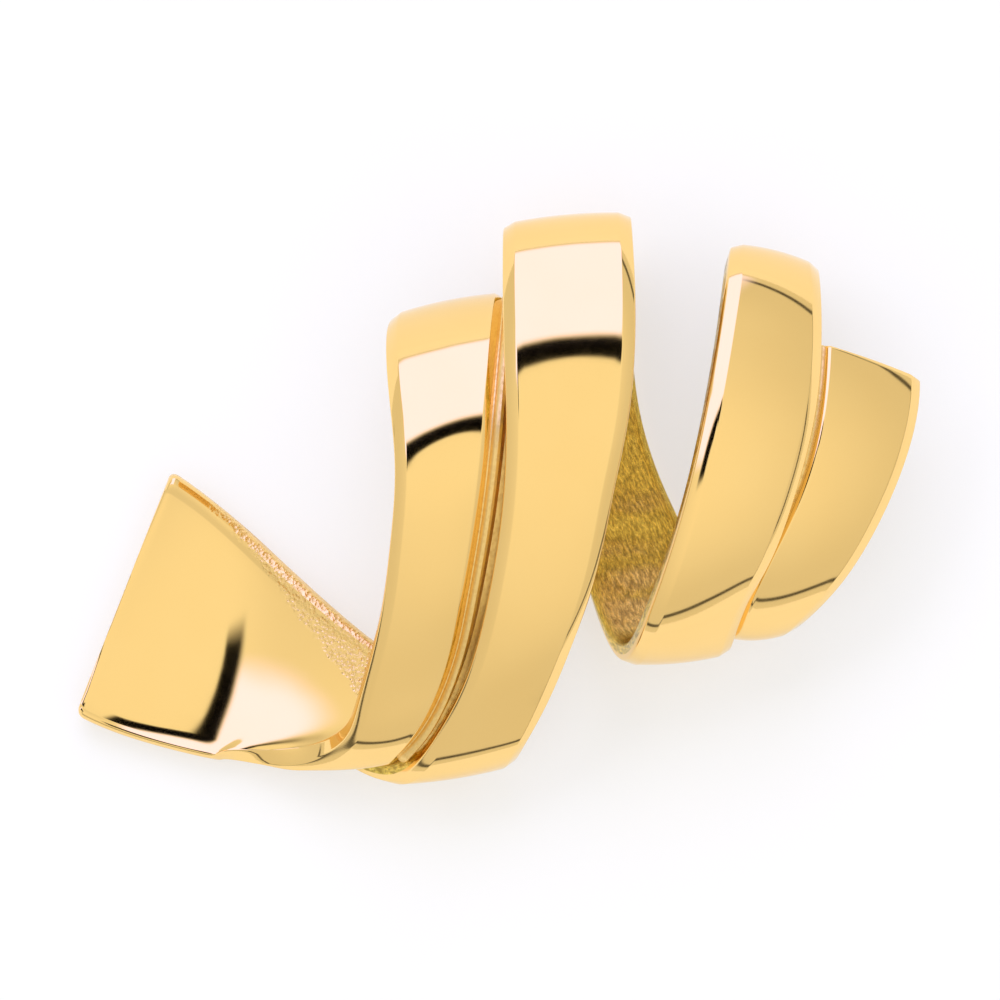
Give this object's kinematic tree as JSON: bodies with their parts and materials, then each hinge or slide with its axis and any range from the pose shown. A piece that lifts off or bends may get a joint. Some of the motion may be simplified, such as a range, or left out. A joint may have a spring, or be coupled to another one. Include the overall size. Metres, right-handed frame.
{
  "type": "slide pendant",
  "caption": "Spiral slide pendant of polished metal ribbon fused side by side, with a wide hollow end panel; a necklace passes through its coils.",
  "frame": {"origin": "on the surface that the pendant lies on, under the middle of its outline", "axes": "+X along the spiral, from the wide end panel to the narrow side band; +Y up the front bands; +Z out of the front, away from the surface"},
  "size_m": [0.0339, 0.0229, 0.0096],
  "materials": {
    "polished_gold": "polished yellow gold, satin inside the coils and lightly pitted in the grooves"
  },
  "bodies": {
    "root": {"spiral_ribbon": "polished_gold"}
  },
  "joints": []
}
